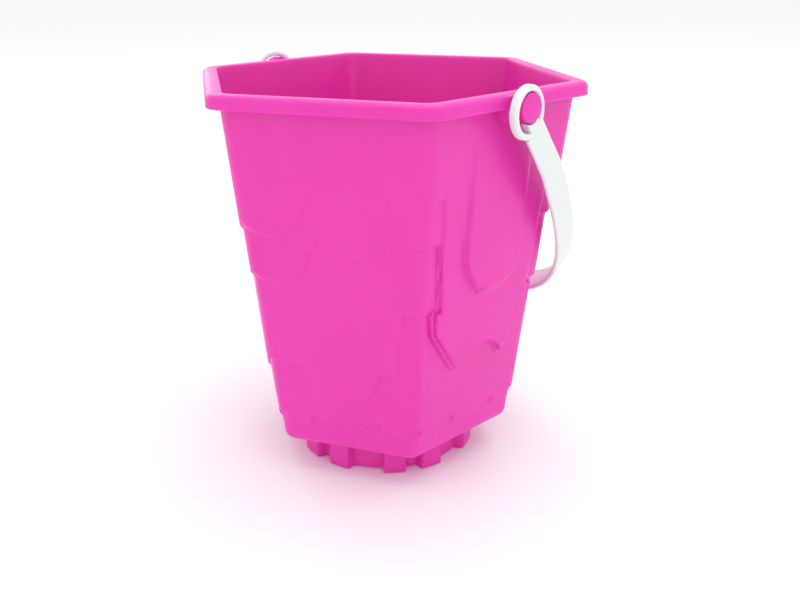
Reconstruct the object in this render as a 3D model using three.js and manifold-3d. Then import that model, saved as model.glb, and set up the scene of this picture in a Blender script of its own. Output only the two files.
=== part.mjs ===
// Six-sided castle sand bucket with a swinging strap handle.
// Millimetres, +Z up. The origin is the centre of the turret foot's underside, and +X is the
// outward normal of one of the two faces that carry a handle stud.

import * as THREE from 'three';
import { mergeVertices } from 'three/addons/utils/BufferGeometryUtils.js';
import Module from 'manifold-3d';

// ---- driving dimensions ---------------------------------------------------------------------

const RIM_ACROSS_CORNERS = 160;
const FOOT_HEIGHT = 14.6;          // round turret below the six-sided body
const BODY_HEIGHT = 141.5;       // six-sided body, up to the top of the rim
const WALL = 1.6;

const BODY_APOTHEM_LOW = 50.5;   // outermost relief level, produced down to the base plate
const BODY_APOTHEM_HIGH = 64.9;  // the same level at the rim
const BODY_CORNER = 4.7;         // rounding of the six upright corners
const PLATE = 1.8;               // base plate between the body and the turret
const PLATE_CHAMFER = 2.4;

const LEVEL_DROP = 1.1;          // each relief level stands this far inside the one above it
const LEVELS = 4;
const RISER_COVER = 1.2;         // keeps the wall thick where a level steps in

const RIM_CORNER = 8.5;
const RIM_LIP = 1.8;             // thickness of the flat rim top
const RIM_SKIRT = 5;             // height of the down-turned edge
const RIM_EDGE = 0.8;            // chamfer round the rim's top outer edge
const SKIRT_WALL = 1.6;

const BOSS_HALF_WIDTH = 14.7;    // arched boss on the stud faces
const BOSS_DROP = 19;            // from where its sides end down to its lowest point
const BOSS_CENTRE_Z = 86.5;
const BOSS_TOP_Z = 124;          // here the boss runs out into the wall
const BOSS_RISE = 3;             // how far its lower end stands out
const BOSS_RUNOUT = 6;           // its form goes on this far above where it runs out
const BOSS_DEPTH = 8;            // and this far behind the wall's foot

const TURRET_RADIUS = 38.5;
const TURRET_TURN = 6;           // degrees, the ring of merlons against the faces
const TURRET_RECESS = 3.7;       // depth of the gaps between merlons
const MERLON_ANGLE = 15;         // degrees
const MERLON_OFFSET = 18;        // degrees either side of a face's middle

const STUD_RADIUS = 5.2;
const STUD_DROP = 4.7;           // from the rim's top to the studs' axis
const PAD_ROOT_X = 60;           // inside the hollow, which cuts the root off flush
const STUD_END_X = 74.4;
const STUD_PAD_RADIUS = 6.4;

const RING_OUTER = 9.4;
const RING_HOLE = 7.15;
const RING_CENTRE_X = 72.75;
const RING_THICKNESS = 3.2;
const RING_SAG = 1.4;            // the rings' centre hangs this far below the studs' axis
const RING_SHIFT = -0.8;         // and lies this far along Y from it
const RING_YAW = 8.8;            // degrees, how far the ring sits askew on its stud
const STRAP_WIDTH = 11.4;
const STRAP_THICKNESS = 1.9;
const STRAP_DEPTH = 114.6;       // from the rings' centre to the middle of the bow
const STRAP_TWIST = 0.143;       // slope across the strap at the ring, to lie in its plane
const TWIST_DEPTHS = [12, 45];   // the twist is full above the first and gone below the second
const TONGUE_WIDTH = 6.5;        // the strap's end inside the ring
const TONGUE_TOP = 2;            // its upper end, below the ring's centre
const TONGUE_GAP = 0.4;          // between the strap's end and the stud
const HANDLE_SWING = 35.5;       // degrees from hanging straight down, towards +Y

const BODY_TOP = FOOT_HEIGHT + BODY_HEIGHT;
const STUD_Z = BODY_TOP - STUD_DROP;
const RIM_APOTHEM = RIM_ACROSS_CORNERS / 2 * Math.cos(Math.PI / 6);
const WEDGE_REACH = 200;         // longer than anything that a face's sector has to hold
const SECTOR_LAP = 0.05;         // neighbouring sectors overlap by this much
const CUT_FROM = 5;              // relief cuts start this far from the axis
const OVERRUN = 1;               // how far a cutting form runs past what it cuts

// Segments along one arc, halved because an arc in a shape gets twice this number.
const CORNER_SEGMENTS = 2;
const SCALLOP_SEGMENTS = 5;
const BOSS_SEGMENTS = 8;
const MERLON_SEGMENTS = 1;
const RING_SEGMENTS = 16;
const BOW_SEGMENTS = 16;         // steps along one half of the strap
const STUD_SEGMENTS = 32;        // round a whole stud

// ---- solids ---------------------------------------------------------------------------------

const wasm = await Module();
wasm.setup();

function toSolid(geometry) {
  const bare = geometry.clone();
  bare.deleteAttribute('normal');
  bare.deleteAttribute('uv');
  const merged = mergeVertices(bare, 1e-4);
  const mesh = new wasm.Mesh({
    numProp: 3,
    vertProperties: new Float32Array(merged.attributes.position.array),
    triVerts: new Uint32Array(merged.index.array),
  });
  return new wasm.Manifold(mesh);
}

function toGeometry(solid) {
  const mesh = solid.getMesh();
  const geometry = new THREE.BufferGeometry();
  geometry.setAttribute('position', new THREE.BufferAttribute(mesh.vertProperties, 3));
  geometry.setIndex(new THREE.BufferAttribute(mesh.triVerts, 1));
  geometry.computeVertexNormals();
  return geometry;
}

function joinAll(solids) {
  return solids.reduce((whole, piece) => whole.add(piece));
}

// ---- six-sided forms ------------------------------------------------------------------------

function hexagonShape(apothem, corner) {
  const shape = new THREE.Shape();
  const reach = (apothem - corner) / Math.cos(Math.PI / 6);
  for (let side = 0; side < 6; side += 1) {
    const angle = Math.PI / 6 + side * Math.PI / 3;
    const x = reach * Math.cos(angle);
    const y = reach * Math.sin(angle);
    shape.absarc(x, y, corner, angle - Math.PI / 6, angle + Math.PI / 6, false);
  }
  return shape;
}

// A hexagonal frustum from z = low to z = high, both above the base plate's underside.
function hexFrustum(low, apothemLow, high, apothemHigh, corner) {
  const shape = hexagonShape(apothemLow, corner);
  const geometry = new THREE.ExtrudeGeometry(shape,
    { depth: high - low, bevelEnabled: false, curveSegments: CORNER_SEGMENTS });
  const position = geometry.attributes.position;
  for (let i = 0; i < position.count; i += 1) {
    const share = position.getZ(i) / (high - low);
    const scale = 1 + share * (apothemHigh / apothemLow - 1);
    position.setXY(i, position.getX(i) * scale, position.getY(i) * scale);
  }
  geometry.translate(0, 0, FOOT_HEIGHT + low);
  return toSolid(geometry);
}

function wallApothem(z) {
  return BODY_APOTHEM_LOW + (BODY_APOTHEM_HIGH - BODY_APOTHEM_LOW) * z / BODY_HEIGHT;
}

// The body's surface at one relief level, moved inwards by the given inset.
function levelFrustum(level, inset, low, high) {
  const drop = level * LEVEL_DROP + inset;
  return hexFrustum(low, wallApothem(low) - drop, high, wallApothem(high) - drop, BODY_CORNER);
}

// ---- relief outlines, in a face's own (t, z): t runs along the face, z up from the plate ------

const FACE_EDGE = 48;            // beyond both upright corners of a face
const SKIRT_OF_CUT = -8;         // below the base plate

// A wall region below a relief step. The margin moves the step's edge outwards all round.
function belowStep(edge, margin) {
  const shape = new THREE.Shape();
  shape.moveTo(-FACE_EDGE, SKIRT_OF_CUT);
  shape.lineTo(FACE_EDGE, SKIRT_OF_CUT);
  edge(shape, margin);
  shape.closePath();
  return shape;
}

const LEDGE_REACH = 20.6;        // from a small scallop's centre to its ledge's end

// The two upper steps share one form: a small scallop, a short ledge, and a large scallop that
// wraps round the body's front or rear corner.
function scallopedStep(flatZ, smallCentre, smallRadius, ledgeZ, largeCentre, largeRadius) {
  return (shape, margin) => {
    const small = smallRadius - margin;
    const large = largeRadius - margin;
    const ledgeEnd = smallCentre - LEDGE_REACH;
    shape.lineTo(FACE_EDGE, flatZ + margin);
    shape.lineTo(smallCentre + small, flatZ + margin);
    shape.absarc(smallCentre, flatZ, small, 0, -Math.PI, true);
    shape.lineTo(smallCentre - small, flatZ + margin);
    shape.lineTo(ledgeEnd - margin, flatZ + margin);
    shape.lineTo(ledgeEnd - margin, ledgeZ + margin);
    shape.lineTo(largeCentre + large, ledgeZ + margin);
    shape.absarc(largeCentre, ledgeZ, large, 0, -Math.PI, true);
    shape.lineTo(-FACE_EDGE, ledgeZ);
  };
}

// The third step stands high beside the stud face and hangs down in one round tongue.
const TONGUE_STEP = { high: 64.3, highEnd: 24, low: 38, lowEnd: 21, centre: -0.5, radius: 15 };

function tongueStep(shape, margin) {
  const { high, highEnd, low, lowEnd, centre } = TONGUE_STEP;
  const radius = TONGUE_STEP.radius - margin;
  shape.lineTo(FACE_EDGE, high + margin);
  shape.lineTo(highEnd - margin, high + margin);
  shape.lineTo(lowEnd - margin, low + margin);
  shape.lineTo(centre + radius, low + margin);
  shape.absarc(centre, low, radius, 0, -Math.PI, true);
  shape.lineTo(centre - radius, low + margin);
  shape.lineTo(-FACE_EDGE, low + margin);
}

// The fourth step is a row of merlons: proud between each pair of these distances.
const MERLON_LOW = 10.7;
const MERLON_HIGH = 14;
const MERLON_EDGES = [7.9, 14.6, 25];

function merlonStep(shape, margin) {
  const [inner, gap, outer] = MERLON_EDGES;
  const low = MERLON_LOW + margin;
  const high = MERLON_HIGH + margin;
  shape.lineTo(FACE_EDGE, high);
  shape.lineTo(outer - margin, high);
  shape.lineTo(outer - margin, low);
  shape.lineTo(gap + margin, low);
  shape.lineTo(gap + margin, high);
  shape.lineTo(inner - margin, high);
  shape.lineTo(inner - margin, low);
  shape.lineTo(-inner + margin, low);
  shape.lineTo(-inner + margin, high);
  shape.lineTo(-gap - margin, high);
  shape.lineTo(-gap - margin, low);
  shape.lineTo(-outer + margin, low);
  shape.lineTo(-outer + margin, high);
  shape.lineTo(-FACE_EDGE, high);
}

// On the stud faces the first three levels stop at a tall panel with an arch cut into its foot.
const PANEL_TOP = { half: 27.2, z: 108 };
const PANEL_WAIST = { half: 23, hip: 24.9, z: 64.3 };
const PANEL_SHOULDER = { half: 23.9, z: 55 };
const PANEL_TOE = { half: 12.2, z: 37.2 };
const PANEL_ARCH = { half: 8, z: 44.2, crown: 44.8 };

function panelStep(flatZ) {
  return (shape, margin) => {
    const shoulder = PANEL_SHOULDER.half - margin;
    const shoulderZ = PANEL_SHOULDER.z + margin / 2;
    const toeZ = PANEL_TOE.z + margin;
    const archZ = PANEL_ARCH.z + margin;
    const waistZ = PANEL_WAIST.z + margin;
    const slope = (PANEL_TOP.half - PANEL_WAIST.half) / (PANEL_TOP.z - PANEL_WAIST.z);
    const topHalf = PANEL_WAIST.half + slope * (flatZ - PANEL_WAIST.z) - margin;
    const sides = [[PANEL_WAIST.hip - margin, waistZ], [shoulder, shoulderZ]];
    if (flatZ > PANEL_WAIST.z) {
      sides.unshift([topHalf, flatZ + margin], [PANEL_WAIST.half - margin, waistZ]);
    }
    shape.lineTo(FACE_EDGE, flatZ + margin);
    sides.forEach(([half, z]) => shape.lineTo(half, z));
    shape.lineTo(PANEL_TOE.half, toeZ);
    shape.quadraticCurveTo(PANEL_ARCH.half, archZ, 0, PANEL_ARCH.crown + margin);
    shape.quadraticCurveTo(-PANEL_ARCH.half, archZ, -PANEL_TOE.half, toeZ);
    sides.reverse().forEach(([half, z]) => shape.lineTo(-half, z));
    shape.lineTo(-FACE_EDGE, flatZ + margin);
  };
}

const WALL_STEPS = [
  scallopedStep(108, 13, 8.2, 104.2, -23.6, 14),
  scallopedStep(91, 14, 8.7, 85.8, -23.6, 13.9),
  tongueStep,
  merlonStep,
];
const STUD_FACE_STEPS = [
  panelStep(PANEL_TOP.z), panelStep(91), panelStep(PANEL_WAIST.z), merlonStep,
];

// Each face's direction in degrees, its steps, and whether its outline runs the other way.
const FACES = [
  { turn: 0, steps: STUD_FACE_STEPS, mirrored: false },
  { turn: 60, steps: WALL_STEPS, mirrored: true },
  { turn: 120, steps: WALL_STEPS, mirrored: false },
  { turn: 180, steps: STUD_FACE_STEPS, mirrored: false },
  { turn: 240, steps: WALL_STEPS, mirrored: true },
  { turn: 300, steps: WALL_STEPS, mirrored: false },
];

// Stands a (t, z) shape on a face and extrudes it outwards from the given distance.
function onFace(shape, turn, from, depth, mirrored) {
  const geometry = new THREE.ExtrudeGeometry(shape,
    { depth, bevelEnabled: false, curveSegments: SCALLOP_SEGMENTS });
  geometry.translate(0, FOOT_HEIGHT, from);
  const angle = THREE.MathUtils.degToRad(turn);
  const along = new THREE.Vector3(-Math.sin(angle), Math.cos(angle), 0);
  const out = new THREE.Vector3(Math.cos(angle), Math.sin(angle), 0);
  const up = new THREE.Vector3(0, 0, 1);
  geometry.applyMatrix4(new THREE.Matrix4().makeBasis(along, up, out));
  const piece = toSolid(geometry);
  return mirrored ? piece.mirror([along.x, along.y, 0]) : piece;
}

function sector(turn) {
  const half = Math.tan(Math.PI / 6) * WEDGE_REACH + SECTOR_LAP;
  const shape = new THREE.Shape();
  shape.moveTo(0, SECTOR_LAP);
  shape.lineTo(0, -SECTOR_LAP);
  shape.lineTo(WEDGE_REACH, -half);
  shape.lineTo(WEDGE_REACH, half);
  shape.closePath();
  const geometry = new THREE.ExtrudeGeometry(shape,
    { depth: 2 * WEDGE_REACH, bevelEnabled: false });
  geometry.translate(0, 0, -WEDGE_REACH / 2);
  geometry.rotateZ(THREE.MathUtils.degToRad(turn));
  return toSolid(geometry);
}

// Everything below one level's steps, all round the body.
function levelCut(level, margin) {
  const parts = FACES.map(({ turn, steps, mirrored }) => {
    const shape = belowStep(steps[level - 1], margin);
    return onFace(shape, turn, CUT_FROM, WEDGE_REACH / 2, mirrored).intersect(sector(turn));
  });
  return joinAll(parts);
}

// The stepped body: the outermost level, with each lower level's skin cut back below its steps.
function steppedBody(inset, margin, low, high) {
  let body = levelFrustum(0, inset, low, high);
  for (let level = 1; level <= LEVELS; level += 1) {
    const inner = levelFrustum(level, inset, low - 2 * OVERRUN, high + 2 * OVERRUN);
    body = body.subtract(levelCut(level, margin).subtract(inner));
  }
  return body;
}

// ---- bucket ---------------------------------------------------------------------------------

// An arched boss on a stud face. Its front is more upright than the wall and runs out at the top.
function boss(turn, inset) {
  const half = BOSS_HALF_WIDTH - inset;
  const shape = new THREE.Shape();
  shape.moveTo(half, BOSS_TOP_Z + BOSS_RUNOUT);
  shape.lineTo(-half, BOSS_TOP_Z + BOSS_RUNOUT);
  shape.absellipse(0, BOSS_CENTRE_Z, half, BOSS_DROP - inset, Math.PI, 2 * Math.PI, false);
  const lowZ = BOSS_CENTRE_Z - BOSS_DROP;
  const lowN = wallApothem(lowZ) + BOSS_RISE;
  const slope = (wallApothem(BOSS_TOP_Z) - lowN) / (BOSS_TOP_Z - lowZ);
  const geometry = new THREE.ExtrudeGeometry(shape,
    { depth: 1, bevelEnabled: false, curveSegments: BOSS_SEGMENTS });
  const position = geometry.attributes.position;
  const back = wallApothem(0) - BOSS_DEPTH;
  for (let i = 0; i < position.count; i += 1) {
    const front = lowN + slope * (position.getY(i) - lowZ) - inset;
    position.setZ(i, position.getZ(i) > 0.5 ? front : back);
  }
  geometry.translate(0, FOOT_HEIGHT, 0);
  geometry.applyMatrix4(new THREE.Matrix4().makeBasis(
    new THREE.Vector3(0, 1, 0), new THREE.Vector3(0, 0, 1), new THREE.Vector3(1, 0, 0)));
  geometry.rotateZ(THREE.MathUtils.degToRad(turn));
  return toSolid(geometry);
}

function rim() {
  const top = BODY_HEIGHT;
  const low = top - RIM_SKIRT;
  const edge = top - RIM_EDGE;
  const inside = RIM_APOTHEM - SKIRT_WALL;
  const band = hexFrustum(low, RIM_APOTHEM, edge, RIM_APOTHEM, RIM_CORNER);
  const crown = hexFrustum(edge, RIM_APOTHEM, top, RIM_APOTHEM - RIM_EDGE, RIM_CORNER);
  const hollow = hexFrustum(low - OVERRUN, inside, top - RIM_LIP, inside, RIM_CORNER - SKIRT_WALL);
  return band.add(crown).subtract(hollow);
}

// A round outline with twelve merlons, two to a face, as wide as the angle says.
function turretShape(outerRadius, recessRadius, halfAngle) {
  const shape = new THREE.Shape();
  const half = THREE.MathUtils.degToRad(halfAngle);
  const centres = [];
  for (let turn = 0; turn < 360; turn += 60) {
    centres.push(TURRET_TURN + turn - MERLON_OFFSET, TURRET_TURN + turn + MERLON_OFFSET);
  }
  centres.forEach((centre, index) => {
    const angle = THREE.MathUtils.degToRad(centre);
    const after = THREE.MathUtils.degToRad(centres[index + 1] ?? centres[0] + 360);
    shape.absarc(0, 0, outerRadius, angle - half, angle + half, false);
    shape.absarc(0, 0, recessRadius, angle + half, after - half, false);
  });
  return shape;
}

function turret(outerRadius, recessRadius, halfAngle, low, high) {
  const geometry = new THREE.ExtrudeGeometry(turretShape(outerRadius, recessRadius, halfAngle),
    { depth: high - low, bevelEnabled: false, curveSegments: MERLON_SEGMENTS });
  geometry.translate(0, 0, low);
  return toSolid(geometry);
}

// The stud with the pad that carries it between the wall and the skirt's face.
function stud(turn) {
  const root = RIM_APOTHEM - RIM_EDGE;
  const pin = new THREE.CylinderGeometry(STUD_RADIUS, STUD_RADIUS, STUD_END_X - root,
    STUD_SEGMENTS);
  pin.rotateZ(Math.PI / 2);
  pin.translate((STUD_END_X + root) / 2, 0, STUD_Z);
  const outline = new THREE.Shape();
  const lift = BODY_HEIGHT - STUD_DROP;
  const padTop = BODY_HEIGHT - RIM_EDGE / 2;
  outline.moveTo(STUD_PAD_RADIUS, padTop);
  outline.lineTo(-STUD_PAD_RADIUS, padTop);
  outline.absarc(0, lift, STUD_PAD_RADIUS, Math.PI, 2 * Math.PI, false);
  const pad = onFace(outline, 0, PAD_ROOT_X, RIM_APOTHEM - PAD_ROOT_X, false);
  return toSolid(pin).add(pad).rotate([0, 0, turn]);
}

function bucketSolid() {
  const chamferTop = 1.25 * PLATE_CHAMFER;
  const sliver = 0.01;
  const lowest = wallApothem(0) - LEVELS * LEVEL_DROP;
  const slab = hexFrustum(-2 * OVERRUN, RIM_APOTHEM, chamferTop, RIM_APOTHEM, RIM_CORNER);
  const chamfer = hexFrustum(-sliver, lowest - PLATE_CHAMFER, chamferTop + sliver,
    wallApothem(chamferTop) - LEVELS * LEVEL_DROP, BODY_CORNER);
  const outside = joinAll([
    steppedBody(0, 0, 0, BODY_HEIGHT).subtract(slab.subtract(chamfer)),
    rim(),
    turret(TURRET_RADIUS, TURRET_RADIUS - TURRET_RECESS, MERLON_ANGLE / 2,
      0, FOOT_HEIGHT + OVERRUN),
    boss(0, 0),
    boss(180, 0),
    stud(0),
    stud(180),
  ]);
  const pocketAngle = MERLON_ANGLE / 2 - THREE.MathUtils.radToDeg(WALL / TURRET_RADIUS);
  const inside = joinAll([
    steppedBody(WALL, RISER_COVER, PLATE, BODY_HEIGHT + OVERRUN),
    boss(0, WALL),
    boss(180, WALL),
    turret(TURRET_RADIUS - WALL, TURRET_RADIUS - TURRET_RECESS - WALL, pocketAngle,
      WALL, FOOT_HEIGHT + PLATE + OVERRUN),
  ]);
  return outside.subtract(inside);
}

// ---- handle, modelled hanging straight down, round its rings' common centre line --------------

// Where the strap's middle surface runs: (x, depth below the rings), one half of the bow.
function bowHalf() {
  const start = new THREE.Vector2(72.35, 8);
  const knee = new THREE.Vector2(72.1, 24.9);
  const leg = new THREE.LineCurve(start, knee);
  const bend = new THREE.CubicBezierCurve(knee, new THREE.Vector2(67.4, 66.5),
    new THREE.Vector2(51, STRAP_DEPTH), new THREE.Vector2(0, STRAP_DEPTH));
  return [leg.getPoint(0), ...bend.getPoints(BOW_SEGMENTS)];
}

// The strap's edge line, moved off its middle surface by the given distance.
function bowEdge(offset) {
  const half = bowHalf();
  const mirrored = half.slice(0, -1).reverse().map((p) => new THREE.Vector2(-p.x, p.y));
  const line = [...half, ...mirrored];
  return line.map((point, index) => {
    const before = line[Math.max(index - 1, 0)];
    const after = line[Math.min(index + 1, line.length - 1)];
    const along = after.clone().sub(before).normalize();
    return new THREE.Vector2(point.x + along.y * offset, point.y - along.x * offset);
  });
}

// The strap, twisted next to each ring so that it leaves the ring in the ring's own plane.
function strap() {
  const outer = bowEdge(STRAP_THICKNESS / 2);
  const inner = bowEdge(-STRAP_THICKNESS / 2).reverse();
  const shape = new THREE.Shape([...outer, ...inner]);
  const geometry = new THREE.ExtrudeGeometry(shape,
    { depth: STRAP_WIDTH, bevelEnabled: false });
  geometry.translate(0, 0, -STRAP_WIDTH / 2);
  geometry.rotateX(-Math.PI / 2);
  const [full, gone] = TWIST_DEPTHS;
  const position = geometry.attributes.position;
  for (let i = 0; i < position.count; i += 1) {
    const share = 1 - THREE.MathUtils.smoothstep(-position.getZ(i), full, gone);
    const shift = STRAP_TWIST * share * position.getY(i);
    position.setX(i, position.getX(i) - Math.sign(position.getX(i)) * shift);
  }
  return toSolid(geometry);
}

// A direction in the YZ plane at rest, seen from the handle before it is swung out.
function hangingFrame(y, z) {
  const swing = THREE.MathUtils.degToRad(HANDLE_SWING);
  return new THREE.Vector3(0, y, z).applyAxisAngle(new THREE.Vector3(1, 0, 0), -swing);
}

const hang = hangingFrame(RING_SHIFT, -RING_SAG);

function ringEnd(side) {
  const ring = new THREE.Shape();
  ring.absarc(0, 0, RING_OUTER, 0, 2 * Math.PI, false);
  const hole = new THREE.Path();
  hole.absarc(0, 0, RING_HOLE, 0, 2 * Math.PI, true);
  ring.holes.push(hole);
  const geometry = new THREE.ExtrudeGeometry(ring,
    { depth: RING_THICKNESS, bevelEnabled: false, curveSegments: RING_SEGMENTS });
  geometry.applyMatrix4(new THREE.Matrix4().makeBasis(
    new THREE.Vector3(0, 1, 0), new THREE.Vector3(0, 0, 1), new THREE.Vector3(1, 0, 0)));
  geometry.translate(-RING_THICKNESS / 2, 0, 0);

  const reach = RING_HOLE + OVERRUN;
  const tongue = new THREE.BoxGeometry(RING_THICKNESS, TONGUE_WIDTH, reach - TONGUE_TOP);
  tongue.translate(0, 0, -(reach + TONGUE_TOP) / 2);
  const askew = new THREE.Matrix4().makeRotationAxis(hangingFrame(0, 1),
    THREE.MathUtils.degToRad(RING_YAW));
  askew.setPosition(RING_CENTRE_X, 0, 0);
  geometry.applyMatrix4(askew);
  tongue.applyMatrix4(askew);

  const room = STUD_RADIUS + TONGUE_GAP;
  const clearance = new THREE.CylinderGeometry(room, room, 4 * RING_OUTER, STUD_SEGMENTS);
  clearance.rotateZ(Math.PI / 2);
  clearance.translate(RING_CENTRE_X, -hang.y, -hang.z);

  const end = toSolid(geometry).add(toSolid(tongue)).subtract(toSolid(clearance));
  return side > 0 ? end : end.mirror([1, 0, 0]);
}

function handleSolid() {
  return joinAll([strap(), ringEnd(1), ringEnd(-1)]).translate([0, hang.y, hang.z]);
}

// ---- assembly -------------------------------------------------------------------------------

const pinkPlastic = new THREE.MeshStandardMaterial({
  name: 'pink_plastic', color: 0xe63fae, roughness: 0.38, metalness: 0,
});
const whitePlastic = new THREE.MeshStandardMaterial({
  name: 'white_plastic', color: 0xf2f1f0, roughness: 0.42, metalness: 0,
});

const bucket = new THREE.Mesh(toGeometry(bucketSolid()), pinkPlastic);
bucket.name = 'bucket';

const handle = new THREE.Mesh(toGeometry(handleSolid()), whitePlastic);
handle.name = 'handle';
handle.position.set(0, 0, STUD_Z);
handle.rotation.x = THREE.MathUtils.degToRad(HANDLE_SWING);

const sandBucket = new THREE.Group();
sandBucket.name = 'sand_bucket';
sandBucket.add(bucket, handle);

export default sandBucket;
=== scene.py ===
"""A pink six-sided castle sand bucket with a white strap handle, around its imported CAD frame."""

import math

import bmesh
import bpy
import numpy as np
from mathutils import Matrix, Vector


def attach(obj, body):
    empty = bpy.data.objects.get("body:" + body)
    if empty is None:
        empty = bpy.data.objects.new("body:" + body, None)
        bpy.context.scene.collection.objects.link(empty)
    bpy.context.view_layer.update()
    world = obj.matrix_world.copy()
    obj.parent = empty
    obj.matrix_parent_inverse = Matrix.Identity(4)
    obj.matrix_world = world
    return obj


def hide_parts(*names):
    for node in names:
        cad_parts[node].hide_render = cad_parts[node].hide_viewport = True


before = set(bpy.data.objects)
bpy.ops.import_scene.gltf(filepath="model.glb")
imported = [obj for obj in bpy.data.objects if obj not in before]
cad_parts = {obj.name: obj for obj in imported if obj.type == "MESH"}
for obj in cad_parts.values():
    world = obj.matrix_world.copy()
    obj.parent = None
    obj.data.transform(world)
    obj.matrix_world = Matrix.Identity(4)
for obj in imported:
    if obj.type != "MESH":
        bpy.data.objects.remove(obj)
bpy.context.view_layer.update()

MM = 0.001

# ---- the CAD model's dimensions, in millimetres ------------------------------------------------

FOOT = 14.6
BODY = 141.5
WALL = 1.6
PLATE = 1.8
APOTHEM_LOW, APOTHEM_HIGH = 50.5, 64.9
CORNER = 4.7
DROP = 1.1
LEVELS = 4
RISER_COVER = 1.2

RIM_APOTHEM = 69.28
RIM_CORNER = 8.5
RIM_LIP = 1.8
RIM_SKIRT = 5.0
RIM_EDGE = 0.8
SKIRT_WALL = 1.6

BOSS_HALF = 14.7
BOSS_LOWER = 19.0
BOSS_CENTRE = 86.5
BOSS_TOP = 124.0
BOSS_RISE = 3.0

TURRET_RADIUS = 38.5
TURRET_RECESS = 3.7
MERLON_HALF = 7.5
MERLON_OFFSET = 18.0
MERLON_FLANK = 2.4                # degrees, the width of a merlon's sloping side
TURRET_TURN = 6.0

STUD_RADIUS = 5.2
STUD_END = 74.4
PAD_RADIUS = 6.4
STUD_Z = FOOT + BODY - 4.7

RING_OUTER, RING_HOLE = 9.38, 7.15
RING_X, RING_THICK = 72.75, 3.2
RING_SAG, RING_SHIFT = 1.4, -0.8
RING_YAW = math.radians(8.8)
STRAP_TWIST, TWIST_FULL, TWIST_GONE = 0.143, 12.0, 45.0
TONGUE_WIDTH, TONGUE_TOP, TONGUE_GAP = 6.5, 2.0, 0.4
STRAP_WIDTH, STRAP_THICK, STRAP_DEPTH = 11.4, 1.9, 114.6
STRAP_ROUND = 0.75                # rounding of the strap's long edges

# The strap's straight leg, then the two pulls of its curve: (x, depth below the rings' centre).
LEG_START, LEG_END = (72.35, 8.0), (72.1, 24.9)
SIDE_PULL, FOOT_PULL = (67.4, 66.5), (51, STRAP_DEPTH)
SWING = math.radians(35.5)

# The rings' centre, seen from the stud's axis in the frame of a handle that hangs straight down.
HANG_Y = RING_SHIFT * math.cos(SWING) - RING_SAG * math.sin(SWING)
HANG_Z = -RING_SHIFT * math.sin(SWING) - RING_SAG * math.cos(SWING)

# ---- small helpers ------------------------------------------------------------------------------


def smooth(x):
    x = np.clip(x, 0.0, 1.0)
    return x * x * (3 - 2 * x)


def rounded(points, steps=5):
    """A polyline with each inner corner (x, z, radius) turned into an arc."""
    out = [points[0][:2]]
    for before, here, after in zip(points, points[1:], points[2:]):
        p, r = np.array(here[:2], float), here[2]
        if r <= 0:
            out.append(tuple(p))
            continue
        u = np.array(before[:2], float) - p
        v = np.array(after[:2], float) - p
        u, v = u / np.linalg.norm(u), v / np.linalg.norm(v)
        half = math.acos(np.clip(u @ v, -1, 1)) / 2
        cut = r / math.tan(half)
        a, b = p + u * cut, p + v * cut
        centre = p + (u + v) / np.linalg.norm(u + v) * (r / math.sin(half))
        start = math.atan2(*(a - centre)[::-1])
        turn = math.atan2(*(b - centre)[::-1]) - start
        turn = (turn + math.pi) % (2 * math.pi) - math.pi
        for k in range(steps + 1):
            angle = start + turn * k / steps
            out.append((centre[0] + r * math.cos(angle), centre[1] + r * math.sin(angle)))
    out.append(points[-1][:2])
    return out


def mesh_object(name, vertices, faces):
    """An object made of vertices in millimetres."""
    mesh = bpy.data.meshes.new(name)
    mesh.from_pydata((np.asarray(vertices) * MM).tolist(), [], faces)
    mesh.update()
    obj = bpy.data.objects.new(name, mesh)
    bpy.context.scene.collection.objects.link(obj)
    return obj


def lathe_x(name, profile, segments, centre_z=0.0, hole=False):
    """Turns (x, radius) points round a line along X. Closed at both ends, or a ring with a hole."""
    vertices, faces = [], []
    rows = len(profile)
    for k in range(segments):
        angle = 2 * math.pi * k / segments
        for x, r in profile:
            vertices.append((x, r * math.cos(angle), centre_z + r * math.sin(angle)))
    for k in range(segments):
        a, b = k * rows, (k + 1) % segments * rows
        for j in range(rows if hole else rows - 1):
            n = (j + 1) % rows
            faces.append((a + j, a + n, b + n, b + j))
    if not hole:
        faces.append([k * rows for k in range(segments)])
        faces.append([k * rows + rows - 1 for k in reversed(range(segments))])
    return mesh_object(name, vertices, faces)


def outward(obj):
    """Makes every face point out of the solid."""
    bm = bmesh.new()
    bm.from_mesh(obj.data)
    bmesh.ops.recalc_face_normals(bm, faces=bm.faces)
    if bm.calc_volume(signed=True) < 0:
        bmesh.ops.reverse_faces(bm, faces=bm.faces)
    bm.to_mesh(obj.data)
    bm.free()
    return obj


def combine(obj, other, operation):
    """Joins or cuts obj with other, which is used up."""
    modifier = obj.modifiers.new("combine", "BOOLEAN")
    modifier.operation = operation
    modifier.solver = "MANIFOLD"
    modifier.object = other
    bpy.context.view_layer.update()
    evaluated = obj.evaluated_get(bpy.context.evaluated_depsgraph_get())
    mesh = bpy.data.meshes.new_from_object(evaluated)
    old = obj.data
    obj.modifiers.clear()
    obj.data = mesh
    bpy.data.meshes.remove(old)
    bpy.data.objects.remove(other)
    return obj


def shade(obj, sharp_from):
    """Smooth shading, except at edges that bend by this many degrees or more."""
    obj.data.shade_smooth()
    obj.data.set_sharp_from_angle(angle=math.radians(sharp_from))


# ---- relief outlines on a face, in (t, z above the plate) ----------------------------------------

EDGE = 48.0                       # beyond both upright corners of a face
BELOW = -8.0                      # below the base plate

LEDGE_REACH = 20.6                # from a small scallop's centre to the step beside it

# Pairs are (t, z).
TONGUE_HIGH, TONGUE_LOW = (24, 64.3), (21, 38)
TONGUE_CENTRE, TONGUE_RADIUS = -0.5, 15

MERLON_LOW, MERLON_HIGH = 10.7, 14.0
MERLON_EDGES = (7.9, 14.6, 25.0)

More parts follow.
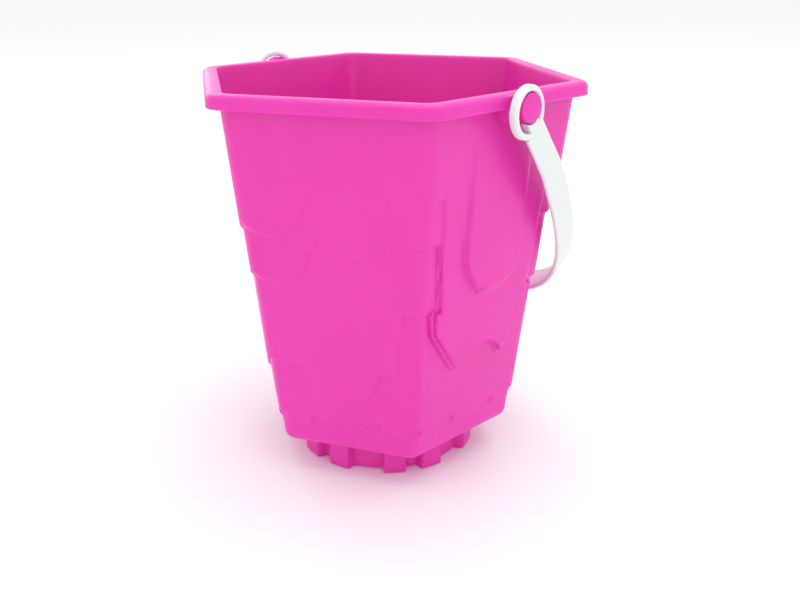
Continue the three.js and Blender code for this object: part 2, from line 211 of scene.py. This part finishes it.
PANEL_TOP, PANEL_WAIST = (27.2, 108), (23, 64.3)
PANEL_HIP, PANEL_SHOULDER = (24.9, 64.3), (23.9, 55.0)
PANEL_TOE, PANEL_ARCH, PANEL_CROWN = (12.2, 37.2), (8, 44.2), 44.8


def arc(cx, cz, radius, steps=20):
    """A scallop, from its right end down and round to its left end."""
    return [(cx + radius * math.cos(a), cz - radius * math.sin(a))
            for a in np.linspace(0, math.pi, steps + 1)]


def scalloped(flat, small, small_radius, ledge, large, large_radius):
    """A line with a small scallop, a step down to a ledge, and a large scallop in the ledge."""
    end = small - LEDGE_REACH
    return [(EDGE, flat), *arc(small, flat, small_radius), (end, flat), (end, ledge),
            *arc(large, ledge, large_radius), (-EDGE, ledge)]


def tongue():
    """A line that drops to a lower one with a single wide scallop."""
    high, low = TONGUE_HIGH[1], TONGUE_LOW[1]
    return [(EDGE, high), TONGUE_HIGH, TONGUE_LOW, *arc(TONGUE_CENTRE, low, TONGUE_RADIUS),
            (-EDGE, low)]


def merlons():
    """The battlements at the wall's foot."""
    inner, gap, outer = MERLON_EDGES
    low, high = MERLON_LOW, MERLON_HIGH
    half = [(outer, high), (outer, low), (gap, low), (gap, high), (inner, high), (inner, low)]
    return [(EDGE, high), *half, *[(-t, z) for t, z in reversed(half)], (-EDGE, high)]


def panel(flat):
    """The tall panel of a stud face, hanging from this height, with an arch cut into its foot."""
    (toe_t, toe_z), (arch_t, arch_z) = PANEL_TOE, PANEL_ARCH
    arch = []
    for k in np.linspace(0, 1, 9):
        t = toe_t * (1 - k) ** 2 + 2 * arch_t * k * (1 - k)
        z = toe_z * (1 - k) ** 2 + 2 * arch_z * k * (1 - k) + PANEL_CROWN * k * k
        arch.append((t, z))
    half = [PANEL_HIP, PANEL_SHOULDER, *arch]
    (top_t, top_z), (waist_t, waist_z) = PANEL_TOP, PANEL_WAIST
    if flat > waist_z:
        slope = (top_t - waist_t) / (top_z - waist_z)
        half = [(waist_t + slope * (flat - waist_z), flat), PANEL_WAIST, *half]
    return [(EDGE, flat), *half, *[(-t, z) for t, z in reversed(half[:-1])], (-EDGE, flat)]


WALL_STEPS = [
    scalloped(flat=108, small=13, small_radius=8.2, ledge=104.2, large=-23.6, large_radius=14),
    scalloped(flat=91, small=14, small_radius=8.7, ledge=85.8, large=-23.6, large_radius=13.9),
    tongue(), merlons()]
STUD_STEPS = [panel(PANEL_TOP[1]), panel(91), panel(PANEL_WAIST[1]), merlons()]


def below(outline, t, z):
    """Signed distance into the region below an outline: positive below it."""
    ring = np.array([*outline, (-EDGE, BELOW), (EDGE, BELOW)])
    a, b = ring, np.roll(ring, -1, axis=0)
    p = np.stack([t.ravel(), z.ravel()], axis=1)[:, None, :]
    d = (b - a)[None]
    length = np.maximum((d ** 2).sum(-1), 1e-12)
    share = np.clip(((p - a[None]) * d).sum(-1) / length, 0, 1)
    edges = slice(0, len(outline) - 1)
    gap = np.linalg.norm(p - (a[None] + share[..., None] * d), axis=-1)[:, edges].min(1)
    cross = (a[None, :, 1] > p[..., 1]) != (b[None, :, 1] > p[..., 1])
    rise = np.where(np.abs(b[:, 1] - a[:, 1]) < 1e-9, 1e-9, b[:, 1] - a[:, 1])
    at = a[None, :, 0] + (p[..., 1] - a[None, :, 1]) / rise * (b - a)[None, :, 0]
    inside = (cross & (p[..., 0] < at)).sum(1) % 2 == 1
    return np.where(inside, gap, -gap).reshape(t.shape)


# ---- the bucket -----------------------------------------------------------------------------------

COLUMNS = 600
theta = (np.arange(COLUMNS) + 0.5) * 2 * math.pi / COLUMNS
side = np.round(theta / (math.pi / 3)).astype(int) % 6
phi = (theta - side * math.pi / 3 + math.pi) % (2 * math.pi) - math.pi
MIRRORED = np.isin(side, [1, 4])
ON_STUD_FACE = np.isin(side, [0, 3])
FILLET = 1.3                      # width of a rounded relief edge
BOSS_FILLET = 1.6                 # the same round the boss
BOSS_BLEND = 0.25                 # softness of the line where the boss runs out


def hex_radius(apothem, corner):
    """From the axis to a rounded hexagon, in each column."""
    p = np.abs(phi)
    apothem, corner = np.broadcast_arrays(apothem, corner)
    reach = (apothem - corner) / math.cos(math.pi / 6)
    turned = math.pi / 6 - p
    bend = reach * np.cos(turned) + np.sqrt(np.maximum(corner ** 2 - (reach * np.sin(turned)) ** 2, 0))
    flat = apothem * np.tan(p) <= (apothem - corner) * math.tan(math.pi / 6)
    return np.where(flat, apothem / np.cos(p), bend)


def wall_apothem(z):
    return APOTHEM_LOW + (APOTHEM_HIGH - APOTHEM_LOW) * z / BODY


def relief(t, z, cover):
    """How far the wall lies inside its outermost level."""
    h = np.zeros_like(t)
    own = np.where(MIRRORED[None, :], -t, t)
    for level in range(LEVELS):
        for steps, columns in ((STUD_STEPS, ON_STUD_FACE), (WALL_STEPS, ~ON_STUD_FACE)):
            d = below(steps[level], own[:, columns], z[:, columns]) - cover
            h[:, columns] += DROP * smooth(d / FILLET + 0.5)
    return h


def boss_front(z):
    """Apothem of the boss's front, which stands proud at its foot and ends in the wall."""
    low = BOSS_CENTRE - BOSS_LOWER
    low_n = wall_apothem(low) + BOSS_RISE
    return low_n + (wall_apothem(BOSS_TOP) - low_n) / (BOSS_TOP - low) * (z - low)


def wall_surface(heights, inset, cover):
    """Radius of the wall in each column, for rows at these heights above the plate.

    A point's place along its face depends on the relief there, so that is settled in a few rounds.
    """
    z = np.repeat(np.asarray(heights, float)[:, None], COLUMNS, axis=1)
    h = np.zeros_like(z)
    for _ in range(4):
        apothem = wall_apothem(z) - inset - h
        radius = hex_radius(apothem, CORNER * apothem / APOTHEM_LOW)
        t = radius * np.sin(phi)[None, :]
        h = relief(t, z, cover)
    apothem = wall_apothem(z) - inset - h
    radius = hex_radius(apothem, CORNER * apothem / APOTHEM_LOW)
    t = apothem * np.tan(phi)[None, :]
    rise = boss_front(z) - inset - apothem
    half, lower = BOSS_HALF - inset, BOSS_LOWER - inset
    fall = np.minimum(z - BOSS_CENTRE, 0) / lower
    edge = half * (1 - np.hypot(t / half, fall))
    proud = np.log1p(np.exp(np.clip(rise / BOSS_BLEND, -40, 40))) * BOSS_BLEND
    proud *= smooth(edge / BOSS_FILLET + 0.5) * ON_STUD_FACE[None, :]
    return radius + proud / np.cos(phi)[None, :]


def turret_radius(outer, recess, half):
    """A round outline with twelve merlons, each this many degrees wide to either side."""
    degrees = np.degrees(theta) - TURRET_TURN
    away = np.full(COLUMNS, 360.0)
    for k in range(6):
        for centre in (60 * k - MERLON_OFFSET, 60 * k + MERLON_OFFSET):
            away = np.minimum(away, np.abs((degrees - centre + 180) % 360 - 180))
    return recess + (outer - recess) * smooth((half - away) / MERLON_FLANK + 0.5)


def spaced(start, end, fine, coarse, bands):
    """Heights from start up to end, close together inside the bands."""
    out = [start]
    while out[-1] < end:
        z = out[-1]
        step = fine if any(low <= z <= high for low, high in bands) else coarse
        out.append(z + step)
    return np.array(out[:-1] + [end]) if end - out[-2] > 0.3 * fine else np.array(out[:-2] + [end])


DETAIL = [(8, 17), (21, 55), (61.5, 66.5), (70, 111)]     # heights of the relief's outlines
LOWEST = wall_apothem(0) - LEVELS * DROP
EDGE_ROUND = 3.6                  # height of the plate's rounded edge
EDGE_INSET = 2.7                  # how far that edge is set in at its foot
QUARTER = np.linspace(0, math.pi / 2, 7)


def bucket_rows():
    """The closed surface of the bucket as rows of (radius, z), from the foot's underside round
    the outside, over the rim and down the inside to the middle of its floor."""
    rows = []

    def add(radius, z):
        rows.append((np.broadcast_to(radius, COLUMNS).astype(float),
                     np.broadcast_to(z, COLUMNS).astype(float)))

    # Foot: underside, rounded lower edge, side, and fillet to the plate.
    gear = turret_radius(TURRET_RADIUS, TURRET_RADIUS - TURRET_RECESS, MERLON_HALF)
    bottom = 1.6
    for share in (0.25, 0.55, 0.8):
        add((gear - bottom) * share, 0)
    for a in QUARTER:
        add(gear - bottom * (1 - math.sin(a)), bottom * (1 - math.cos(a)))
    for z in (4, 7, 10, 12.5):
        add(gear, z)
    fillet = 0.8
    for a in QUARTER[::2]:
        add(gear + fillet * (1 - math.cos(a)), FOOT - fillet * (1 - math.sin(a)))

    # Plate: underside, then its rounded edge.
    edge = EDGE_ROUND * (1 - np.cos(QUARTER))
    radius = wall_surface(edge, 0, 0)
    inset = EDGE_INSET * (1 - np.sin(QUARTER))
    shrink = 1 - inset / LOWEST
    first = radius[0] * shrink[0]
    for share in (0.35, 0.75):
        add((gear + fillet) * (1 - share) + first * share, FOOT)
    for k in range(len(edge)):
        add(radius[k] * shrink[k], FOOT + edge[k])

    # Outside wall.
    under_lip = BODY - RIM_LIP
    heights = spaced(EDGE_ROUND + 0.8, under_lip - 1.2, 0.75, 2.4, DETAIL)
    radius = wall_surface(heights, 0, 0)
    for k in range(len(heights)):
        add(radius[k], FOOT + heights[k])

    # Rim: lip underside, skirt with a fine bead along its lower edge, rounded top.
    inner = RIM_APOTHEM - SKIRT_WALL
    low = BODY - RIM_SKIRT
    bead = 0.14
    top_inner = wall_apothem(BODY) - WALL
    profile = rounded([
        (wall_apothem(under_lip - 1.0), under_lip - 1.0),
        (wall_apothem(under_lip), under_lip, 0.6),
        (inner, under_lip, 0.5),
        (inner, low, 0.5),
        (RIM_APOTHEM, low, 0.45),
        (RIM_APOTHEM, low + 0.95, 0.3),
        (RIM_APOTHEM - bead, low + 1.2, 0.3),
        (RIM_APOTHEM - bead, BODY, 2.2),
        (top_inner, BODY, 0.7),
        (wall_apothem(BODY - 2) - WALL, BODY - 2),
    ], 4)
    # The upright corners are rounded more the further out they lie.
    places = [61, top_inner, wall_apothem(BODY), inner, RIM_APOTHEM - bead]
    roundings = [5.6, 5.8, 6.0, RIM_CORNER - SKIRT_WALL, RIM_CORNER]
    for n, z in profile:
        add(hex_radius(n, np.interp(n, places, roundings)), FOOT + z)

    # Inside wall, down to a rounded foot.
    foot_round = 2.0
    heights = spaced(PLATE + foot_round + 0.6, BODY - 3.5, 1.5, 3.2, DETAIL)[::-1]
    radius = wall_surface(heights, WALL, RISER_COVER)
    for k in range(len(heights)):
        add(radius[k], FOOT + heights[k])
    edge = foot_round * (1 - np.cos(QUARTER[::-1]))
    radius = wall_surface(PLATE + edge, WALL, RISER_COVER)
    for k in range(len(edge)):
        add(radius[k] - foot_round * (1 - math.sin(QUARTER[::-1][k])), FOOT + PLATE + edge[k])

    # Floor: plate, rounded edge of the pocket, pocket side, pocket floor.
    last = rows[-1][0]
    half = MERLON_HALF - math.degrees(WALL / TURRET_RADIUS)
    pocket = turret_radius(TURRET_RADIUS - WALL, TURRET_RADIUS - TURRET_RECESS - WALL, half)
    lip = 0.9
    for share in (0.3, 0.7):
        add(last * (1 - share) + (pocket + lip) * share, FOOT + PLATE)
    for a in QUARTER[::2]:
        add(pocket + lip * (1 - math.sin(a)), FOOT + PLATE - lip * (1 - math.cos(a)))
    for z in (13, 9, 5):
        add(pocket, z)
    for a in QUARTER[::2]:
        add(pocket - lip * (1 - math.cos(a)), WALL + lip * (1 - math.sin(a)))
    for share in (0.8, 0.55, 0.25):
        add((pocket - lip) * share, WALL)
    return rows


def build_bucket():
    rows = bucket_rows()
    radius = np.array([r for r, _ in rows])
    z = np.array([h for _, h in rows])
    count = len(rows)
    grid = np.stack([radius * np.cos(theta), radius * np.sin(theta), z], axis=-1).reshape(-1, 3)
    vertices = np.vstack([[(0, 0, z[0, 0])], grid, [(0, 0, z[-1, 0])]])
    index = 1 + np.arange(count * COLUMNS).reshape(count, COLUMNS)
    after = np.roll(index, -1, axis=1)
    quads = np.stack([index[:-1], after[:-1], after[1:], index[1:]], axis=-1).reshape(-1, 4)
    first = [(0, int(b), int(a)) for a, b in zip(index[0], after[0])]
    last = [(len(vertices) - 1, int(a), int(b)) for a, b in zip(index[-1], after[-1])]
    obj = mesh_object("bucket_shell", vertices, quads.tolist() + first + last)
    return outward(obj)


def stud(name):
    root, edge_round, middle = RIM_APOTHEM - RIM_EDGE, 0.7, 0.4
    pin = rounded([(root, STUD_RADIUS), (STUD_END, STUD_RADIUS, edge_round), (STUD_END, middle)], 4)
    return outward(lathe_x(name, pin, 72, STUD_Z))


def pad(name):
    """The pad that carries a stud, from within the wall out to the skirt's face."""
    back, front = 63.4, RIM_APOTHEM - 0.12
    top = FOOT + BODY - 0.6
    outline = [(PAD_RADIUS, top), (-PAD_RADIUS, top)]
    outline += [(-PAD_RADIUS * math.cos(a), STUD_Z - PAD_RADIUS * math.sin(a))
                for a in np.linspace(0, math.pi, 33)]
    n = len(outline)
    bevel = 0.5
    vertices = []
    for x, shrink in ((back, 0), (front - bevel, 0), (front - bevel * 0.3, bevel * 0.3),
                      (front, bevel)):
        for y, z in outline:
            d = np.array([y, z - STUD_Z])
            d = d * (1 - shrink / np.linalg.norm(d))
            vertices.append((x, d[0], STUD_Z + d[1]))
    faces = [tuple(range(n)), tuple(3 * n + k for k in reversed(range(n)))]
    for row in range(3):
        for k in range(n):
            a, b = row * n + k, row * n + (k + 1) % n
            faces.append((a, b, b + n, a + n))
    return outward(mesh_object(name, vertices, faces))


def half_turn(obj):
    obj.data.transform(Matrix.Rotation(math.pi, 4, "Z"))
    return obj


bucket = build_bucket()
for turn in (False, True):
    for make in (pad, stud):
        piece = make("part")
        combine(bucket, half_turn(piece) if turn else piece, "UNION")
shade(bucket, sharp_from=48)

# ---- the handle, made hanging straight down from its rings' centre ----------------------------------


def bow():
    """(x, depth) and the direction, along the strap's middle from one ring to the other."""
    p = np.array([LEG_END, SIDE_PULL, FOOT_PULL, (0, STRAP_DEPTH)], float)
    k = np.linspace(0, 1, 73)[:, None]
    bend = ((1 - k) ** 3 * p[0] + 3 * k * (1 - k) ** 2 * p[1] + 3 * k ** 2 * (1 - k) * p[2]
            + k ** 3 * p[3])
    leg = np.linspace(LEG_START, p[0], 8, endpoint=False)
    half = np.vstack([leg, bend])
    line = np.vstack([half, (half * (-1, 1))[-2::-1]])
    tangent = np.gradient(line, axis=0)
    return line, tangent / np.linalg.norm(tangent, axis=1)[:, None]


def build_strap():
    line, tangent = bow()
    normal = np.stack([tangent[:, 1], -tangent[:, 0]], axis=1)
    w, h, r = STRAP_WIDTH / 2, STRAP_THICK / 2, STRAP_ROUND
    section = []
    for cy, cn, start in ((w - r, h - r, 0), (-(w - r), h - r, 90), (-(w - r), -(h - r), 180),
                          (w - r, -(h - r), 270)):
        for k in range(6):
            a = math.radians(start + 90 * k / 5)
            section.append((cy + r * math.cos(a), cn + r * math.sin(a)))
    n = len(section)
    vertices = []
    for (x, depth), (nx, nd) in zip(line, normal):
        twist = STRAP_TWIST * (1 - smooth((depth - TWIST_FULL) / (TWIST_GONE - TWIST_FULL)))
        for y, off in section:
            vertices.append((x + nx * off - math.copysign(twist, x) * y, y,
                             -(depth + nd * off)))
    faces = [tuple(range(n)), tuple(len(vertices) - 1 - k for k in range(n))]
    for i in range(len(line) - 1):
        for k in range(n):
            a, b = i * n + k, i * n + (k + 1) % n
            faces.append((a, b, b + n, a + n))
    return outward(mesh_object("strap", vertices, faces))


def askew(obj):
    """Sets a ring's parts, made round X = 0, in their place and at the ring's own angle."""
    upright = Vector((0, math.sin(SWING), math.cos(SWING)))
    obj.data.transform(Matrix.Translation((RING_X * MM, 0, 0))
                       @ Matrix.Rotation(RING_YAW, 4, upright))
    return obj


def build_ring():
    x, middle = RING_THICK / 2, (RING_HOLE + RING_OUTER) / 2
    loop = rounded([(-x, middle), (-x, RING_HOLE, 0.75), (x, RING_HOLE, 0.75),
                    (x, RING_OUTER, 0.95), (-x, RING_OUTER, 0.95), (-x, middle)], 5)
    return askew(outward(lathe_x("ring", loop[:-1], 120, 0, hole=True)))


def build_tongue():
    reach = RING_HOLE + 1
    w, h = TONGUE_WIDTH / 2, RING_THICK / 2 - 0.1
    section = rounded([(0, h), (w, h, 0.6), (w, -h, 0.6), (-w, -h, 0.6), (-w, h, 0.6),
                       (0, h)], 4)[:-1]
    n = len(section)
    vertices = [(dx, y, z) for z in (-TONGUE_TOP, -reach) for y, dx in section]
    faces = [tuple(range(n)), tuple(2 * n - 1 - k for k in range(n))]
    faces += [(k, (k + 1) % n, n + (k + 1) % n, n + k) for k in range(n)]
    piece = askew(outward(mesh_object("tongue", vertices, faces)))
    room = STUD_RADIUS + TONGUE_GAP
    cutter = outward(lathe_x("cutter", [(60, room), (85, room)], 96))
    cutter.data.transform(Matrix.Translation((0, -HANG_Y * MM, -HANG_Z * MM)))
    return combine(piece, cutter, "DIFFERENCE")


handle = build_strap()
handle.name = handle.data.name = "handle_strap"
for mirrored in (False, True):
    for make in (build_ring, build_tongue):
        piece = make()
        if mirrored:
            piece.data.transform(Matrix.Scale(-1, 4, (1, 0, 0)))
            outward(piece)
        combine(handle, piece, "UNION")
handle.data.transform(Matrix.Translation((0, RING_SHIFT * MM, (STUD_Z - RING_SAG) * MM))
                      @ Matrix.Rotation(SWING, 4, "X"))
shade(handle, sharp_from=40)

# ---- materials ----------------------------------------------------------------------------------------


def plastic(name, light, dark, roughness, waviness, glow):
    """Moulded polypropylene: translucent, with faint flow marks, fine skin, hairline scuffs."""
    material = bpy.data.materials.new(name)
    material.use_nodes = True
    tree = material.node_tree
    tree.nodes.clear()

    def node(kind, **values):
        made = tree.nodes.new(kind)
        for key, value in values.items():
            if hasattr(made, key):
                setattr(made, key, value)
            else:
                made.inputs[key.replace("_", " ")].default_value = value
        return made

    def link(a, output, b, socket):
        tree.links.new(a.outputs[output], b.inputs[socket])

    out = node("ShaderNodeOutputMaterial")
    shader = node("ShaderNodeBsdfPrincipled")
    shader.inputs["IOR"].default_value = 1.49
    shader.inputs["Metallic"].default_value = 0.0
    shader.inputs["Subsurface Weight"].default_value = glow
    shader.inputs["Subsurface Radius"].default_value = (1.0, 0.5, 0.8)
    shader.inputs["Subsurface Scale"].default_value = 0.0025
    link(shader, "BSDF", out, "Surface")
    place = node("ShaderNodeTexCoord")

    # Flow marks: long soft streaks up the wall, and slow patches.
    stretch = node("ShaderNodeMapping")
    stretch.inputs["Scale"].default_value = (1, 1, 0.22)
    link(place, "Object", stretch, "Vector")
    streaks = node("ShaderNodeTexNoise", Scale=130.0, Detail=3.0, Roughness=0.55)
    link(stretch, "Vector", streaks, "Vector")
    patches = node("ShaderNodeTexNoise", Scale=28.0, Detail=4.0, Roughness=0.6, Distortion=0.6)
    link(place, "Object", patches, "Vector")
    blend = node("ShaderNodeMix", data_type="FLOAT")
    blend.inputs[0].default_value = 0.35
    link(patches, "Fac", blend, 2)
    link(streaks, "Fac", blend, 3)
    tint = node("ShaderNodeValToRGB")
    tint.color_ramp.elements[0].position = 0.3
    tint.color_ramp.elements[0].color = (*dark, 1)
    tint.color_ramp.elements[1].position = 0.7
    tint.color_ramp.elements[1].color = (*light, 1)
    link(blend, 0, tint, "Fac")
    link(tint, "Color", shader, "Base Color")

    # Hairline scuffs: thin, broken lines in two directions.
    scuffs = None
    for turn, size in ((0.5, 46.0), (-1.1, 61.0)):
        turned = node("ShaderNodeMapping")
        turned.inputs["Rotation"].default_value = (turn, 0.4, turn * 1.7)
        turned.inputs["Scale"].default_value = (1, 9, 9)
        link(place, "Object", turned, "Vector")
        lines = node("ShaderNodeTexNoise", Scale=size, Detail=2.0, Roughness=0.4)
        link(turned, "Vector", lines, "Vector")
        thin = node("ShaderNodeMapRange")
        thin.interpolation_type = "SMOOTHSTEP"
        thin.inputs["From Min"].default_value = 0.69
        thin.inputs["From Max"].default_value = 0.76
        link(lines, "Fac", thin, "Value")
        if scuffs is None:
            scuffs = thin
        else:
            both = node("ShaderNodeMath", operation="MAXIMUM")
            link(scuffs, 0, both, 0)
            link(thin, 0, both, 1)
            scuffs = both

    rough = node("ShaderNodeMapRange")
    rough.inputs["From Min"].default_value = 0.3
    rough.inputs["From Max"].default_value = 0.7
    rough.inputs["To Min"].default_value = roughness - 0.05
    rough.inputs["To Max"].default_value = roughness + 0.06
    link(patches, "Fac", rough, "Value")
    worn = node("ShaderNodeMath", operation="MULTIPLY_ADD")
    worn.inputs[1].default_value = 0.14
    link(scuffs, 0, worn, 0)
    link(rough, 0, worn, 2)
    link(worn, 0, shader, "Roughness")

    # Skin: slow waviness of the moulded wall over a fine grain.
    waves = node("ShaderNodeTexNoise", Scale=70.0, Detail=2.0, Roughness=0.5)
    link(place, "Object", waves, "Vector")
    slow = node("ShaderNodeBump")
    slow.inputs["Strength"].default_value = waviness
    slow.inputs["Distance"].default_value = 0.0006
    link(waves, "Fac", slow, "Height")
    grain = node("ShaderNodeTexNoise", Scale=1500.0, Detail=2.0, Roughness=0.6)
    link(place, "Object", grain, "Vector")
    fine = node("ShaderNodeBump")
    fine.inputs["Strength"].default_value = 0.10
    fine.inputs["Distance"].default_value = 0.0001
    link(grain, "Fac", fine, "Height")
    link(slow, "Normal", fine, "Normal")
    link(fine, "Normal", shader, "Normal")
    return material


pink = plastic("pink_plastic_look", light=(0.77, 0.034, 0.43), dark=(0.72, 0.024, 0.385),
               roughness=0.36, waviness=0.22, glow=0.4)
white = plastic("white_plastic_look", light=(0.745, 0.79, 0.775), dark=(0.705, 0.75, 0.735),
                roughness=0.40, waviness=0.12, glow=0.3)

for piece, material, body, node_name, slot in (
        (bucket, pink, "bucket", "bucket", "pink_plastic"),
        (handle, white, "handle", "handle", "white_plastic")):
    piece.data.materials.clear()
    piece.data.materials.append(material)
    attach(piece, body)
    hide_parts(node_name)

# ---- studio ---------------------------------------------------------------------------------------------


def studio_floor():
    half = 400.0                  # metres, far enough to reach the horizon
    steps = 24
    line = np.linspace(-half, half, steps + 1) / MM
    vertices = [(x, y, 0) for y in line for x in line]
    n = steps + 1
    faces = [(j * n + i, j * n + i + 1, (j + 1) * n + i + 1, (j + 1) * n + i)
             for j in range(steps) for i in range(steps)]
    obj = mesh_object("studio_floor", vertices, faces)
    material = bpy.data.materials.new("studio_paper")
    material.use_nodes = True
    nodes, links = material.node_tree.nodes, material.node_tree.links
    shader = nodes["Principled BSDF"]
    noise = nodes.new("ShaderNodeTexNoise")
    noise.inputs["Scale"].default_value = 9.0
    ramp = nodes.new("ShaderNodeValToRGB")
    ramp.color_ramp.elements[0].color = (0.93, 0.93, 0.935, 1)
    ramp.color_ramp.elements[1].color = (0.95, 0.95, 0.95, 1)
    links.new(noise.outputs["Fac"], ramp.inputs["Fac"])
    links.new(ramp.outputs["Color"], shader.inputs["Base Color"])
    shader.inputs["Roughness"].default_value = 0.9
    shader.inputs["Specular IOR Level"].default_value = 0.1
    obj.data.materials.append(material)
    return obj


studio_floor()

AIM = Vector((0, 0, 0.085))


def lamp(name, place, size, power):
    light = bpy.data.lights.new(name, "AREA")
    light.shape = "RECTANGLE"
    light.size, light.size_y = size
    light.energy = power
    obj = bpy.data.objects.new(name, light)
    bpy.context.scene.collection.objects.link(obj)
    obj.location = place
    obj.rotation_euler = (AIM - Vector(place)).to_track_quat("-Z", "Y").to_euler()
    return obj


lamp("key", (1.15, -0.35, 0.75), (0.8, 0.8), 1.0)
lamp("front_left", (-0.15, -1.3, 0.7), (1.0, 0.9), 0.15)
lamp("above", (0.1, 0.1, 1.3), (1.2, 1.2), 6.0)
lamp("back_left", (-1.15, 0.25, 0.5), (0.6, 0.6), 1.6)

world = bpy.data.worlds.new("studio")
world.use_nodes = True
world.node_tree.nodes["Background"].inputs["Color"].default_value = (1, 1, 1, 1)
world.node_tree.nodes["Background"].inputs["Strength"].default_value = 1.0
bpy.context.scene.world = world

# Camera: its place, the axes of its picture, and its lens.
EYE = Vector((0.25762, -0.22956, 0.20112))
RIGHT = Vector((0.66670405, 0.74530059, -0.00572091))
UP = Vector((-0.23376307, 0.21638744, 0.94790891))
BACK = RIGHT.cross(UP)
lens = bpy.data.cameras.new("camera")
lens.sensor_width = 36.0
lens.lens = 39.3459
lens.shift_x = 0.01934
lens.shift_y = -0.06845
lens.clip_start = 0.01
camera = bpy.data.objects.new("camera", lens)
bpy.context.scene.collection.objects.link(camera)
camera.matrix_world = Matrix((
    (RIGHT.x, UP.x, BACK.x, EYE.x),
    (RIGHT.y, UP.y, BACK.y, EYE.y),
    (RIGHT.z, UP.z, BACK.z, EYE.z),
    (0, 0, 0, 1)))
bpy.context.scene.camera = camera

view = bpy.context.scene.view_settings
view.view_transform = "Standard"
view.look = "None"
